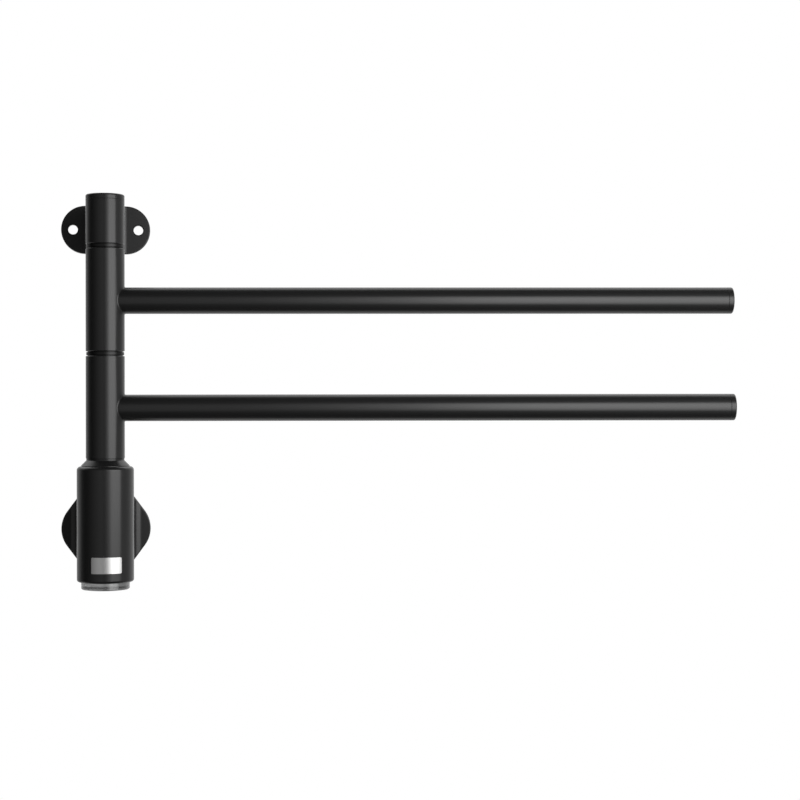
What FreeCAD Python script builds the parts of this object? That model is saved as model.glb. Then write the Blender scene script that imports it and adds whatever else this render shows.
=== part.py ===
import FreeCAD, Part
import math
import os

# Wall-mounted towel holder: two warmed arms that swing on one upright post.
# Millimetres. The origin is the centre of the lower wall flange's back face.
# +X runs along the wall, +Y goes into the wall and +Z is up.

# Clearances, and the length by which a cutting tool runs past its work
running_gap = 0.1
fit_clearance = 0.06
seat_clearance = 0.1
soft_clearance = 0.3
cut_overrun = 1.0

# Post
post_to_wall = 55.0
post_radius = 14.4
ring_height = 3.3
ring_step = 0.4
ring_edge = 0.25
ring_lip_height = 0.5
ring_lip_depth = 1.0

# Arms
arm_pitch = 80.0
arm_reach = 470.0
arm_radius = 9.9
arm_wall = 1.5
arm_height = 37.8
hub_wall = 2.0
hub_edge = 0.35
weld_radius = 0.9
arm_end_edge = 0.2
end_cap_height = 4.0
end_cap_radius = 1.3
end_cap_spigot = 10.0
upper_rest_angle = 7.4
lower_rest_angle = 8.5
swing_angle = 180.0

# Spindle, its nuts and the bushes that turn on it
spindle_radius = 7.0
spindle_wall = 1.5
spindle_tail = 2.6
spindle_thread_end = 1.8
spindle_window_radius = 3.5
bush_length = 14.0
lock_nut_height = 6.0
lock_nut_radius = 12.0
lock_nut_sides = 6
tension_washer_play = 0.5
tension_washer_thickness = 1.0
tension_washer_rise = 0.9
spindle_nut_play = 0.7
spindle_nut_height = 6.0
spindle_nut_slot = 3.0
spindle_nut_slot_depth = 2.0
spindle_nut_slots = 4

# Swing stop: a lug on each lower bush runs between the ends of a fixed sector
stop_height = 5.0
stop_lug_angle = 24.0
stop_slack_angle = 0.6
stop_sleeve_wall = 1.2
stop_lug_gap = 0.8
stop_lug_play = 0.3

# Upper bracket: sleeve, neck and stadium flange
sleeve_height = 33.0
sleeve_web = 10.0
sleeve_wall = 2.5
sleeve_edge = 0.3
cap_seam_edge = 0.15
top_cap_height = 4.0
top_cap_radius = 1.3
top_cap_spigot = 5.0
upper_flange_height = 15.4
upper_flange_half_width = 34.05
upper_flange_radius = 18.5
upper_flange_thickness = 5.0
upper_flange_edge = 0.8
upper_neck_width = 20.4
upper_neck_cove = 6.0
upper_neck_front_offset = 3.0
wall_screw_spacing = 50.0
wall_screw_radius = 3.7
wall_screw_chamfer = 0.7

# Lower housing: turned barrel, coved neck and rounded rhombus flange
housing_radius = 21.1
housing_height = 86.0
housing_drop = 36.1
housing_shoulder = 3.0
housing_foot = 1.9
housing_wall = 3.6
housing_roof = 4.0
flange_half_width = 34.1
flange_rise = 0.1
flange_tip_radius = 22.4
flange_slope = 36.5
flange_thickness = 6.0
flange_edge = 0.8
lower_neck_width = 37.8
lower_neck_cove = 8.0
lower_neck_front_offset = 4.0

# Conical collar between the housing and the lower hub
collar_height = 5.6
collar_waist_step = 0.35
collar_neck = 1.1
collar_foot_height = 0.4
collar_foot_step = 0.6

# Wall plate in the flange's back, with its hidden clamp screw
pocket_rim = 4.0
deep_pocket_rim = 6.0
deep_pocket_half_width = 15.5
deep_pocket_depth = 16.0
screw_relief_half_width = 20.0
screw_relief_depth = 7.5
plate_thickness = 3.0
plate_clearance = 0.4
plate_screw_spacing = 30.0
plate_screw_radius = 2.5
tab_width = 10.0
tab_height = 4.6
tab_depth = 7.0
clamp_screw_radius = 2.0
clamp_screw_inset = 0.5
clamp_socket_radius = 1.0
clamp_socket_depth = 2.0

# Cable way
inlet_radius = 4.5
grommet_wall = 2.5
grommet_flange = 1.5
grommet_flange_height = 1.4
passage_radius = 6.0
clamp_bridge_width = 18.0
clamp_bridge_height = 7.0
clamp_bridge_depth = 6.0
clamp_bridge_gap = 1.5
clamp_bridge_groove = 3.0
terminal_width = 16.0
terminal_depth = 9.0
terminal_gap = 0.9
terminal_headroom = 3.6
terminal_ways = 3
terminal_well_radius = 1.6
terminal_well_depth = 4.0
supply_wire_radius = 1.8
supply_wire_bend = 5.0
riser_wire_radius = 2.5
heating_cable_radius = 3.5
heating_cable_tail = 16.0

# Push button, its retainer and what it works
mouth_wall = 2.9
button_drop = 5.5
button_inset = 4.1
button_edge = 0.7
button_gap = 0.25
button_stem_wall = 2.5
button_flange_height = 1.9
button_flange_gap = 0.35
button_flange_lip = 2.1
button_floor = 5.2
button_post_radius = 2.4
button_stroke = 1.5
stroke_slack = 0.2
retainer_height = 4.2
retainer_play = 0.5
retainer_notch = 2.4
switch_side = 6.0
switch_height = 3.3
plunger_radius = 1.7
plunger_height = 1.0
lamp_side = 3.0
lamp_height = 1.4
lamp_circle = 7.0
lamp_count = 4
spring_inset = 0.6
spring_wire = 0.8
spring_turns = 2
coil_points_per_turn = 48
switch_board_thickness = 1.2
switch_board_play = 0.3

# Chassis and control board
chassis_floor = 3.0
chassis_skirt = 2.6
chassis_play = 0.15
rail_inset = 1.65
rail_thickness = 2.8
rail_depth = 5.0
groove_depth = 1.4
groove_play = 0.1
board_thickness = 1.6
board_headroom = 4.9
relay_width = 12.0
relay_depth = 8.0
relay_height = 15.0
relay_drop = 2.5
capacitor_radius = 4.0
capacitor_height = 10.0
capacitor_rise = 3.0
connector_width = 10.0
connector_depth = 6.0
connector_height = 10.0
connector_drop = 1.0

# Levels from the housing's foot to the top of the post
post_y = -post_to_wall
hub_length = arm_pitch - ring_height - 2 * running_gap
z_housing = -housing_drop
z_housing_top = z_housing + housing_height
z_roof = z_housing_top - housing_roof
z_spindle_foot = z_roof - lock_nut_height - spindle_tail
z_collar_top = z_housing_top + collar_height
z_lower_hub = z_collar_top + running_gap
z_middle_ring = z_lower_hub + hub_length + running_gap
z_upper_hub = z_lower_hub + arm_pitch
z_upper_ring = z_upper_hub + hub_length + running_gap
z_sleeve = z_upper_ring + ring_height
z_sleeve_top = z_sleeve + sleeve_height
z_web_top = z_sleeve + sleeve_web
z_upper_flange = z_sleeve + upper_flange_height
z_spindle_nut = z_web_top + tension_washer_thickness + tension_washer_rise + seat_clearance

# Levels inside the housing's mouth, from the button upwards
z_button = z_housing - button_drop
z_button_shelf = z_housing + button_inset
z_retainer = z_button_shelf + button_stroke + stroke_slack
z_retainer_top = z_retainer + retainer_height
z_button_flange = z_retainer_top + running_gap
z_button_top = z_button_flange + button_flange_height
z_plunger = z_button_top + button_stroke + stroke_slack
z_switch = z_plunger + plunger_height
z_switch_board = z_switch + switch_height
z_chassis = z_switch_board + switch_board_thickness
z_chassis_floor = z_chassis + chassis_floor
z_board_top = z_spindle_foot - board_headroom
z_connector_top = z_board_top - connector_drop

# Radii and depths that follow from the pieces above
flange_half_height = housing_drop - flange_rise
hub_bore = post_radius - hub_wall
arm_bore = arm_radius - arm_wall
sleeve_bore = post_radius - sleeve_wall
tension_washer_radius = sleeve_bore - tension_washer_play
spindle_nut_radius = sleeve_bore - spindle_nut_play
spindle_bore = spindle_radius - spindle_wall
spindle_hole = spindle_radius + fit_clearance
stop_sleeve_radius = spindle_hole + stop_sleeve_wall
mouth_radius = housing_radius - mouth_wall
button_radius = mouth_radius - button_gap
housing_bore = housing_radius - housing_wall
chassis_radius = mouth_radius - chassis_play
button_flange_radius = chassis_radius - chassis_skirt - button_flange_gap
button_stem_radius = button_flange_radius - button_flange_lip
spring_radius = button_stem_radius - spring_inset
collar_base_radius = housing_radius - housing_shoulder
collar_top_radius = post_radius - collar_waist_step
inlet_hole = inlet_radius + grommet_wall
grommet_radius = inlet_hole + grommet_flange
pocket_depth = plate_thickness + plate_clearance
terminal_rise = grommet_radius + terminal_gap
clamp_bridge_drop = grommet_radius + clamp_bridge_gap + clamp_bridge_height
board_back = post_y - riser_wire_radius - soft_clearance
board_front = board_back - board_thickness
rail_outer = housing_bore - rail_inset
rail_inner = rail_outer - rail_thickness
clamp_screw_y = -plate_thickness - tab_depth / 2
z_tab = -flange_half_height + deep_pocket_rim + plate_clearance
terminal_height = -z_tab - tab_height - terminal_headroom - terminal_rise

up = FreeCAD.Vector(0, 0, 1)
to_front = FreeCAD.Vector(0, -1, 0)
along_wall = FreeCAD.Vector(1, 0, 0)


def point(x, y, z):
    return FreeCAD.Vector(x, y, z)


def post_cylinder(radius, z_low, z_high):
    """A cylinder on the post's axis."""
    return Part.makeCylinder(radius, z_high - z_low, point(0, post_y, z_low), up)


def post_ring(inner, outer, z_low, z_high):
    """A plain ring on the post's axis, from one radius to another."""
    return post_cylinder(outer, z_low, z_high).cut(
        post_cylinder(inner, z_low - cut_overrun, z_high + cut_overrun))


def turned(profile):
    """A solid turned on the post's axis from (radius, height) corners."""
    corners = [point(radius, post_y, z) for radius, z in profile]
    face = Part.Face(Part.makePolygon(corners + corners[:1]))
    return face.revolve(point(0, post_y, 0), up, 360)


def post_sector(inner, outer, z_low, z_high, first_angle, angle):
    """Part of a ring on the post's axis; angles are counted from +X, seen from above."""
    corners = [point(inner, post_y, z_low), point(outer, post_y, z_low),
               point(outer, post_y, z_high), point(inner, post_y, z_high)]
    face = Part.Face(Part.makePolygon(corners + corners[:1]))
    sector = face.revolve(point(0, post_y, 0), up, angle)
    sector.rotate(point(0, post_y, 0), up, first_angle)
    return sector


def block(x_range, y_range, z_range):
    """A box between two corners."""
    return Part.makeBox(x_range[1] - x_range[0], y_range[1] - y_range[0], z_range[1] - z_range[0],
                        point(x_range[0], y_range[0], z_range[0]))


def circle_edges(shape, radius, z):
    """The circular edges of this radius that lie flat at this height."""
    found = []
    for edge in shape.Edges:
        box = edge.BoundBox
        if isinstance(edge.Curve, Part.Circle) and box.ZLength < fit_clearance:
            if abs(edge.Curve.Radius - radius) < fit_clearance and abs(box.ZMin - z) < fit_clearance:
                found.append(edge)
    return found


def outline_edges(shape, y):
    """The edges that lie in the plane of this depth."""
    return [edge for edge in shape.Edges
            if edge.BoundBox.YLength < fit_clearance and abs(edge.BoundBox.YMin - y) < fit_clearance]


def stadium(half_width, radius, z, y_front, y_back):
    """A plate with round ends, parallel to the wall."""
    straight = half_width - radius
    right = [point(straight, y_back, z - radius), point(half_width, y_back, z),
             point(straight, y_back, z + radius)]
    left = [point(-straight, y_back, z + radius), point(-half_width, y_back, z),
            point(-straight, y_back, z - radius)]
    edges = [Part.Arc(*right).toShape(), Part.makeLine(right[2], left[0]),
             Part.Arc(*left).toShape(), Part.makeLine(left[2], right[0])]
    return Part.Face(Part.Wire(edges)).extrude(to_front * (y_back - y_front))


def rhombus(inset, y_front, y_back):
    """The lower flange's rounded rhombus, set in from its outline, parallel to the wall."""
    slope = math.radians(flange_slope)
    tip_centre = flange_half_width - flange_tip_radius
    side_distance = tip_centre * math.cos(slope) + flange_tip_radius
    crown_radius = (side_distance - flange_half_height * math.sin(slope)) / (1 - math.sin(slope))
    crown_centre = flange_half_height - crown_radius
    tip = flange_tip_radius - inset
    crown = crown_radius - inset
    tip_x = tip_centre + tip * math.cos(slope)
    tip_z = tip * math.sin(slope)
    crown_x = crown * math.cos(slope)
    crown_z = crown_centre + crown * math.sin(slope)
    right = [(tip_x, -tip_z), (tip_centre + tip, 0), (tip_x, tip_z)]
    top = [(crown_x, crown_z), (0, crown_centre + crown), (-crown_x, crown_z)]
    left = [(-x, -z) for x, z in right]
    bottom = [(-x, -z) for x, z in top]
    arcs = [[point(x, y_back, z) for x, z in corner] for corner in (right, top, left, bottom)]
    edges = []
    for arc, following in zip(arcs, arcs[1:] + arcs[:1]):
        edges.append(Part.Arc(*arc).toShape())
        edges.append(Part.makeLine(arc[2], following[0]))
    return Part.Face(Part.Wire(edges)).extrude(to_front * (y_back - y_front))


def coved_block(width, cove, thickness, front_y, z_low, z_high):
    """Upright block from a flange to the post, with a hollow cove down each side at the flange."""
    side = width / 2
    foot = side + cove
    root_y = -thickness / 2
    cove_y = -thickness - cove
    slant = cove * math.sin(math.pi / 4)
    right = Part.Arc(point(foot, -thickness, z_low), point(foot - slant, cove_y + slant, z_low),
                     point(side, cove_y, z_low))
    left = Part.Arc(point(-side, cove_y, z_low), point(slant - foot, cove_y + slant, z_low),
                    point(-foot, -thickness, z_low))
    outline = Part.makePolygon([point(-foot, -thickness, z_low), point(-foot, root_y, z_low),
                                point(foot, root_y, z_low), point(foot, -thickness, z_low)])
    front = Part.makePolygon([point(side, cove_y, z_low), point(side, front_y, z_low),
                              point(-side, front_y, z_low), point(-side, cove_y, z_low)])
    wire = Part.Wire(outline.Edges + [right.toShape()] + front.Edges + [left.toShape()])
    return Part.Face(wire).extrude(up * (z_high - z_low))


def make_upper_bracket():
    """Top sleeve of the post with its neck and the stadium flange on the wall."""
    neck_low = z_upper_flange - upper_flange_radius + upper_flange_edge
    neck_high = z_upper_flange + upper_flange_radius - upper_flange_edge
    flange = stadium(upper_flange_half_width, upper_flange_radius, z_upper_flange,
                     -upper_flange_thickness, 0)
    flange = flange.makeFillet(upper_flange_edge, outline_edges(flange, -upper_flange_thickness))
    neck = coved_block(upper_neck_width, upper_neck_cove, upper_flange_thickness,
                       post_y + upper_neck_front_offset, neck_low, neck_high)
    reach = 2 * upper_flange_radius
    neck = neck.cut(post_cylinder(post_radius + soft_clearance, z_sleeve - reach, z_sleeve))
    neck = neck.cut(post_cylinder(post_radius + seat_clearance, z_sleeve_top, z_sleeve_top + reach))
    sleeve = post_cylinder(post_radius, z_sleeve, z_sleeve_top)
    sleeve = sleeve.makeChamfer(sleeve_edge, circle_edges(sleeve, post_radius, z_sleeve))
    sleeve = sleeve.makeChamfer(cap_seam_edge, circle_edges(sleeve, post_radius, z_sleeve_top))
    bracket = sleeve.fuse([neck, flange]).removeSplitter()
    bracket = bracket.cut(post_cylinder(spindle_hole, z_sleeve - cut_overrun, z_sleeve_top))
    bracket = bracket.cut(post_cylinder(sleeve_bore, z_web_top, z_sleeve_top + cut_overrun))
    for side in (-1, 1):
        x = side * wall_screw_spacing / 2
        hole = Part.makeCylinder(wall_screw_radius, upper_flange_thickness + 2 * cut_overrun,
                                 point(x, cut_overrun, z_upper_flange), to_front)
        mouth = Part.makeCone(wall_screw_radius, wall_screw_radius + wall_screw_chamfer, wall_screw_chamfer,
                              point(x, wall_screw_chamfer - upper_flange_thickness, z_upper_flange),
                              to_front)
        bracket = bracket.cut(hole).cut(mouth)
    return bracket


def make_top_cap():
    """Plug that closes the sleeve, with a rounded rim."""
    cap = post_cylinder(post_radius, z_sleeve_top, z_sleeve_top + top_cap_height)
    cap = cap.makeFillet(top_cap_radius, circle_edges(cap, post_radius, z_sleeve_top + top_cap_height))
    cap = cap.makeChamfer(cap_seam_edge, circle_edges(cap, post_radius, z_sleeve_top))
    spigot = post_cylinder(sleeve_bore - seat_clearance, z_sleeve_top - top_cap_spigot, z_sleeve_top)
    return cap.fuse(spigot).removeSplitter()


def make_bearing_ring(z):
    """Thin ring between two turning lengths of the post, set back from them, with a rebate at each end."""
    outer = post_radius - ring_step
    lip = outer - ring_lip_depth
    top = z + ring_height
    low = z + ring_lip_height
    high = top - ring_lip_height
    ring = turned([(spindle_hole, z), (lip, z), (lip, low), (outer, low), (outer, high), (lip, high),
                   (lip, top), (spindle_hole, top)])
    return ring.makeChamfer(ring_edge, circle_edges(ring, outer, low) + circle_edges(ring, outer, high))


def make_spindle_tube():
    """Steel tube that carries both hubs, with a window for wires at each arm."""
    high = z_spindle_nut + spindle_nut_height + spindle_thread_end
    tube = post_ring(spindle_bore, spindle_radius, z_spindle_foot, high)
    for z_hub in (z_lower_hub, z_upper_hub):
        window = Part.makeCylinder(spindle_window_radius, spindle_radius + cut_overrun,
                                   point(0, post_y, z_hub + arm_height), to_front)
        tube = tube.cut(window)
    return tube


def make_lock_nut():
    """Hexagonal nut that pulls the spindle down on the housing's roof."""
    corners = []
    for corner in range(lock_nut_sides):
        angle = 2 * math.pi * corner / lock_nut_sides
        corners.append(point(lock_nut_radius * math.cos(angle), post_y + lock_nut_radius * math.sin(angle),
                             z_roof - lock_nut_height))
    nut = Part.Face(Part.makePolygon(corners + corners[:1])).extrude(up * lock_nut_height)
    hole = post_cylinder(spindle_hole, z_roof - lock_nut_height - cut_overrun, z_roof + cut_overrun)
    return nut.cut(hole)


def make_tension_washer():
    """Coned spring washer that loads the stack of hubs and rings."""
    inner = spindle_radius + soft_clearance
    low = z_web_top
    high = low + tension_washer_rise
    return turned([(inner, high), (tension_washer_radius, low),
                   (tension_washer_radius, low + tension_washer_thickness),
                   (inner, high + tension_washer_thickness)])


def make_spindle_nut():
    """Round slotted nut above the spring washer."""
    top = z_spindle_nut + spindle_nut_height
    nut = post_ring(spindle_hole, spindle_nut_radius, z_spindle_nut, top)
    slot = block((spindle_radius + soft_clearance, spindle_nut_radius + cut_overrun),
                 (post_y - spindle_nut_slot / 2, post_y + spindle_nut_slot / 2),
                 (top - spindle_nut_slot_depth, top + cut_overrun))
    for index in range(spindle_nut_slots):
        tool = slot.copy()
        tool.rotate(point(0, post_y, 0), up, 360 * index / spindle_nut_slots)
        nut = nut.cut(tool)
    return nut


def make_collar():
    """Cone that carries the lower hub on the housing."""
    foot = collar_base_radius - collar_foot_step
    z_cone = z_housing_top + collar_foot_height
    return turned([(spindle_hole, z_housing_top), (foot, z_housing_top), (foot, z_cone),
                   (collar_base_radius, z_cone), (collar_top_radius, z_collar_top - collar_neck),
                   (collar_top_radius, z_collar_top), (spindle_hole, z_collar_top)])


def stop_level(z_hub):
    return z_hub + bush_length + seat_clearance


def make_stop_collar(z_hub):
    """Fixed stop on the spindle: a sleeve with a sector on the wall side."""
    low = stop_level(z_hub)
    sleeve = post_ring(spindle_hole, stop_sleeve_radius, low, low + stop_height)
    first = stop_lug_angle / 2 + stop_slack_angle
    sector = post_sector(spindle_hole, hub_bore - stop_lug_play, low, low + stop_height,
                         first, swing_angle - 2 * first)
    return sleeve.fuse(sector).removeSplitter()


def make_bush(z, rest_angle, has_lug):
    """Plastic bush pressed into a hub's end; the lower one has the stop lug."""
    bush = post_ring(spindle_hole, hub_bore - fit_clearance, z, z + bush_length)
    if has_lug:
        lug = post_sector(stop_sleeve_radius + stop_lug_gap, hub_bore - stop_lug_play,
                          z + bush_length - fit_clearance, stop_level(z) + stop_height,
                          -rest_angle - stop_lug_angle / 2, stop_lug_angle)
        bush = bush.fuse(lug).removeSplitter()
    return bush


def swung(shape, rest_angle):
    """Turns a piece that was made along +X to where its arm rests, a little off the wall."""
    shape.rotate(point(0, post_y, 0), up, -rest_angle)
    return shape


def make_arm(z_hub, rest_angle):
    """Hub and arm tube welded together, with one bore running into the other."""
    z_axis = z_hub + arm_height
    tube_end = arm_reach - end_cap_height
    hub = post_cylinder(post_radius, z_hub, z_hub + hub_length)
    rims = circle_edges(hub, post_radius, z_hub) + circle_edges(hub, post_radius, z_hub + hub_length)
    hub = hub.makeChamfer(hub_edge, rims)
    tube = Part.makeCylinder(arm_radius, tube_end, point(0, post_y, z_axis), along_wall)
    end_rim = [edge for edge in tube.Edges if edge.BoundBox.XMin > tube_end - fit_clearance]
    tube = tube.makeChamfer(arm_end_edge, end_rim)
    arm = hub.fuse(tube)
    saddle = [edge for edge in arm.Edges if not isinstance(edge.Curve, (Part.Circle, Part.Line))]
    arm = arm.makeFillet(weld_radius, saddle)
    bore = Part.makeCylinder(arm_bore, tube_end + cut_overrun, point(0, post_y, z_axis), along_wall)
    arm = arm.cut(post_cylinder(hub_bore, z_hub - cut_overrun, z_hub + hub_length + cut_overrun))
    return swung(arm.cut(bore), rest_angle)


def make_end_cap(z_hub, rest_angle):
    """Plug in the arm's free end, with a rounded rim."""
    z_axis = z_hub + arm_height
    seam = arm_reach - end_cap_height
    cap = Part.makeCylinder(arm_radius, end_cap_height, point(seam, post_y, z_axis), along_wall)
    rim = [edge for edge in cap.Edges if edge.BoundBox.XMin > arm_reach - fit_clearance]
    cap = cap.makeFillet(end_cap_radius, rim)
    inner_rim = [edge for edge in cap.Edges if edge.BoundBox.XMax < seam + fit_clearance]
    cap = cap.makeChamfer(arm_end_edge, inner_rim)
    spigot = Part.makeCylinder(arm_bore - seat_clearance, end_cap_spigot,
                               point(seam - end_cap_spigot, post_y, z_axis), along_wall)
    return swung(cap.fuse(spigot).removeSplitter(), rest_angle)


def make_heating_cable(z_hub, rest_angle):
    """Heating cable that lies along the bottom of the arm's bore."""
    first = spindle_radius + 2 * soft_clearance
    last = arm_reach - end_cap_height - end_cap_spigot - heating_cable_tail
    z_axis = z_hub + arm_height - arm_bore + heating_cable_radius + soft_clearance
    cable = Part.makeCylinder(heating_cable_radius, last - first, point(first, post_y, z_axis), along_wall)
    return swung(cable, rest_angle)


def make_lower_housing():
    """Barrel, coved neck and rounded rhombus flange in one casting, hollow from below and behind."""
    barrel = post_cylinder(housing_radius, z_housing, z_housing_top)
    barrel = barrel.makeFillet(housing_shoulder, circle_edges(barrel, housing_radius, z_housing_top))
    barrel = barrel.makeFillet(housing_foot, circle_edges(barrel, housing_radius, z_housing))
    neck_front = post_y + lower_neck_front_offset
    neck = rhombus(flange_edge, neck_front, 0).common(
        coved_block(lower_neck_width, lower_neck_cove, flange_thickness, neck_front,
                    -flange_half_height, flange_half_height))
    flange = rhombus(0, -flange_thickness, 0)
    flange = flange.makeFillet(flange_edge, outline_edges(flange, -flange_thickness))
    casting = barrel.fuse([neck, flange]).removeSplitter()
    mouth = post_cylinder(mouth_radius, z_housing - cut_overrun, z_chassis_floor)
    chamber = post_cylinder(housing_bore, z_housing, z_roof)
    spindle_way = post_cylinder(spindle_hole, z_roof - cut_overrun, z_housing_top + cut_overrun)
    pocket = rhombus(pocket_rim, -pocket_depth, cut_overrun)
    steps = []
    for half_width, depth in ((deep_pocket_half_width, deep_pocket_depth),
                              (screw_relief_half_width, screw_relief_depth)):
        slab = block((-half_width, half_width), (-depth, cut_overrun),
                     (-flange_half_height, flange_half_height))
        steps.append(rhombus(deep_pocket_rim, -depth, cut_overrun).common(slab))
    passage = Part.makeCylinder(passage_radius, post_to_wall, point(0, 0, 0), to_front)
    clamp_hole = Part.makeCylinder(clamp_screw_radius + fit_clearance, flange_half_height,
                                   point(0, clamp_screw_y, -flange_half_height - cut_overrun), up)
    clamp_hole = clamp_hole.common(rhombus(0, -deep_pocket_depth, 0))
    for tool in (mouth, chamber, spindle_way, pocket, *steps, passage, clamp_hole):
        casting = casting.cut(tool)
    return casting


def make_wall_plate():
    """Plate that is screwed to the wall first; the housing hooks over its tabs."""
    plate = rhombus(pocket_rim + plate_clearance, -plate_thickness, 0)
    tab = block((-tab_width / 2, tab_width / 2), (-plate_thickness - tab_depth, 0),
                (z_tab, z_tab + tab_height))
    tab = tab.common(rhombus(deep_pocket_rim + plate_clearance, -plate_thickness - tab_depth, 0))
    other = tab.copy()
    other.rotate(point(0, 0, 0), along_wall.cross(up), 180)
    plate = plate.fuse([tab, other]).removeSplitter()
    plate = plate.cut(Part.makeCylinder(inlet_hole, plate_thickness + 2 * cut_overrun,
                                        point(0, cut_overrun, 0), to_front))
    for side in (-1, 1):
        hole = Part.makeCylinder(plate_screw_radius, plate_thickness + 2 * cut_overrun,
                                 point(side * plate_screw_spacing / 2, cut_overrun, 0), to_front)
        plate = plate.cut(hole)
    return plate


def make_clamp_screw():
    """Headless screw in the housing's underside that locks it on the wall plate."""
    low = -flange_half_height + clamp_screw_inset
    high = z_tab - seat_clearance
    screw = Part.makeCylinder(clamp_screw_radius, high - low, point(0, clamp_screw_y, low), up)
    socket = Part.makeCylinder(clamp_socket_radius, clamp_socket_depth + cut_overrun,
                               point(0, clamp_screw_y, low - cut_overrun), up)
    return screw.cut(socket)


def make_grommet():
    """Rubber grommet in the wall plate's cable hole."""
    body = Part.makeCylinder(inlet_hole - fit_clearance, plate_thickness + grommet_flange_height,
                             point(0, 0, 0), to_front)
    flange = Part.makeCylinder(grommet_radius, grommet_flange_height,
                               point(0, -plate_thickness, 0), to_front)
    hole = Part.makeCylinder(inlet_radius, plate_thickness + grommet_flange_height + 2 * cut_overrun,
                             point(0, cut_overrun, 0), to_front)
    return body.fuse(flange).removeSplitter().cut(hole)


def make_cable_clamp():
    """Bridge on the wall plate that grips the cable below its inlet."""
    front = -plate_thickness - clamp_bridge_depth
    low = -clamp_bridge_drop
    bridge = block((-clamp_bridge_width / 2, clamp_bridge_width / 2), (front, -plate_thickness),
                   (low, low + clamp_bridge_height))
    groove = Part.makeCylinder(clamp_bridge_groove, clamp_bridge_height + 2 * cut_overrun,
                               point(0, -plate_thickness, low - cut_overrun), up)
    return bridge.cut(groove)


def make_terminal_block():
    """Screw terminals for the cable, on the wall plate above its inlet."""
    front = -plate_thickness - terminal_depth
    body = block((-terminal_width / 2, terminal_width / 2), (front, -plate_thickness),
                 (terminal_rise, terminal_rise + terminal_height))
    pitch = terminal_width / terminal_ways
    for way in range(terminal_ways):
        x = (way + 1 / 2) * pitch - terminal_width / 2
        well = Part.makeCylinder(terminal_well_radius, terminal_well_depth + cut_overrun,
                                 point(x, front - cut_overrun, terminal_rise + terminal_height / 2),
                                 -to_front)
        body = body.cut(well)
    return body


def make_supply_wires():
    """Sheathed wires from the terminals, through the neck, to the control board."""
    y = -plate_thickness - terminal_depth / 2
    top = point(0, y, terminal_rise - soft_clearance)
    bend_start = point(0, y, supply_wire_bend)
    bend_end = point(0, y - supply_wire_bend, 0)
    quarter = supply_wire_bend * (1 - math.cos(math.pi / 4))
    bend_middle = point(0, y - quarter, quarter)
    end = point(0, board_back + soft_clearance, 0)
    path = Part.Wire([Part.makeLine(top, bend_start), Part.Arc(bend_start, bend_middle, bend_end).toShape(),
                      Part.makeLine(bend_end, end)])
    section = Part.Wire(Part.makeCircle(supply_wire_radius, top, -up))
    return path.makePipeShell([section], True, False)


def make_riser_wires():
    """Bundle that climbs from the board's connector through the spindle to the upper arm."""
    return post_cylinder(riser_wire_radius, z_connector_top + soft_clearance, z_upper_hub + arm_height)


def make_push_button():
    """Clear button: a thick disc with a hollow stem, a retaining lip and a middle post."""
    stem_inner = button_stem_radius - button_stem_wall
    z_floor = z_button + button_floor
    button = turned([(0, z_button), (button_radius, z_button), (button_radius, z_button_shelf),
                     (button_stem_radius, z_button_shelf), (button_stem_radius, z_button_flange),
                     (button_flange_radius, z_button_flange), (button_flange_radius, z_button_top),
                     (stem_inner, z_button_top), (stem_inner, z_floor), (button_post_radius, z_floor),
                     (button_post_radius, z_button_top), (0, z_button_top)])
    return button.makeChamfer(button_edge, circle_edges(button, button_radius, z_button))


def make_button_retainer():
    """Ring screwed into the housing's mouth, with two notches for its key."""
    ring = post_ring(button_stem_radius + retainer_play, chassis_radius, z_retainer, z_retainer_top)
    notch = block((-mouth_radius, mouth_radius), (post_y - retainer_notch / 2, post_y + retainer_notch / 2),
                  (z_retainer - cut_overrun, z_retainer + retainer_height / 2))
    return ring.cut(notch)


def make_chassis():
    """Plastic carrier: skirt on the retainer, floor against the housing's step, two grooved rails."""
    skirt = post_ring(chassis_radius - chassis_skirt, chassis_radius, z_retainer_top, z_chassis)
    floor = post_cylinder(chassis_radius, z_chassis, z_chassis_floor)
    chassis = skirt.fuse(floor)
    middle = (board_back + board_front) / 2
    for side in (-1, 1):
        rail_x = sorted((side * rail_inner, side * rail_outer))
        groove_x = sorted((side * (rail_inner - cut_overrun), side * (rail_inner + groove_depth)))
        rail = block(rail_x, (middle - rail_depth / 2, middle + rail_depth / 2), (z_chassis, z_board_top))
        groove = block(groove_x, (board_front - groove_play, board_back + groove_play),
                       (z_chassis_floor, z_board_top + cut_overrun))
        chassis = chassis.fuse(rail).cut(groove)
    return chassis.removeSplitter()


def make_control_board():
    half = rail_inner + groove_depth - groove_play
    return block((-half, half), (board_front, board_back), (z_chassis_floor, z_board_top))


def make_relay():
    """Relay on the board's front, near its top."""
    high = z_board_top - relay_drop
    return block((-relay_width / 2, relay_width / 2), (board_front - relay_depth, board_front),
                 (high - relay_height, high))


def make_capacitor():
    """Upright capacitor on the board's front, near its foot."""
    return Part.makeCylinder(capacitor_radius, capacitor_height,
                             point(0, board_front - capacitor_radius, z_chassis_floor + capacitor_rise), up)


def make_connector():
    return block((-connector_width / 2, connector_width / 2), (board_back, board_back + connector_depth),
                 (z_connector_top - connector_height, z_connector_top))


def make_switch_board():
    radius = chassis_radius - chassis_skirt - switch_board_play
    return post_cylinder(radius, z_switch_board, z_chassis)


def make_switch():
    """Small push switch with its round plunger pointing down."""
    half = switch_side / 2
    body = block((-half, half), (post_y - half, post_y + half), (z_switch, z_switch_board))
    return body.fuse(post_cylinder(plunger_radius, z_plunger, z_switch)).removeSplitter()


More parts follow.
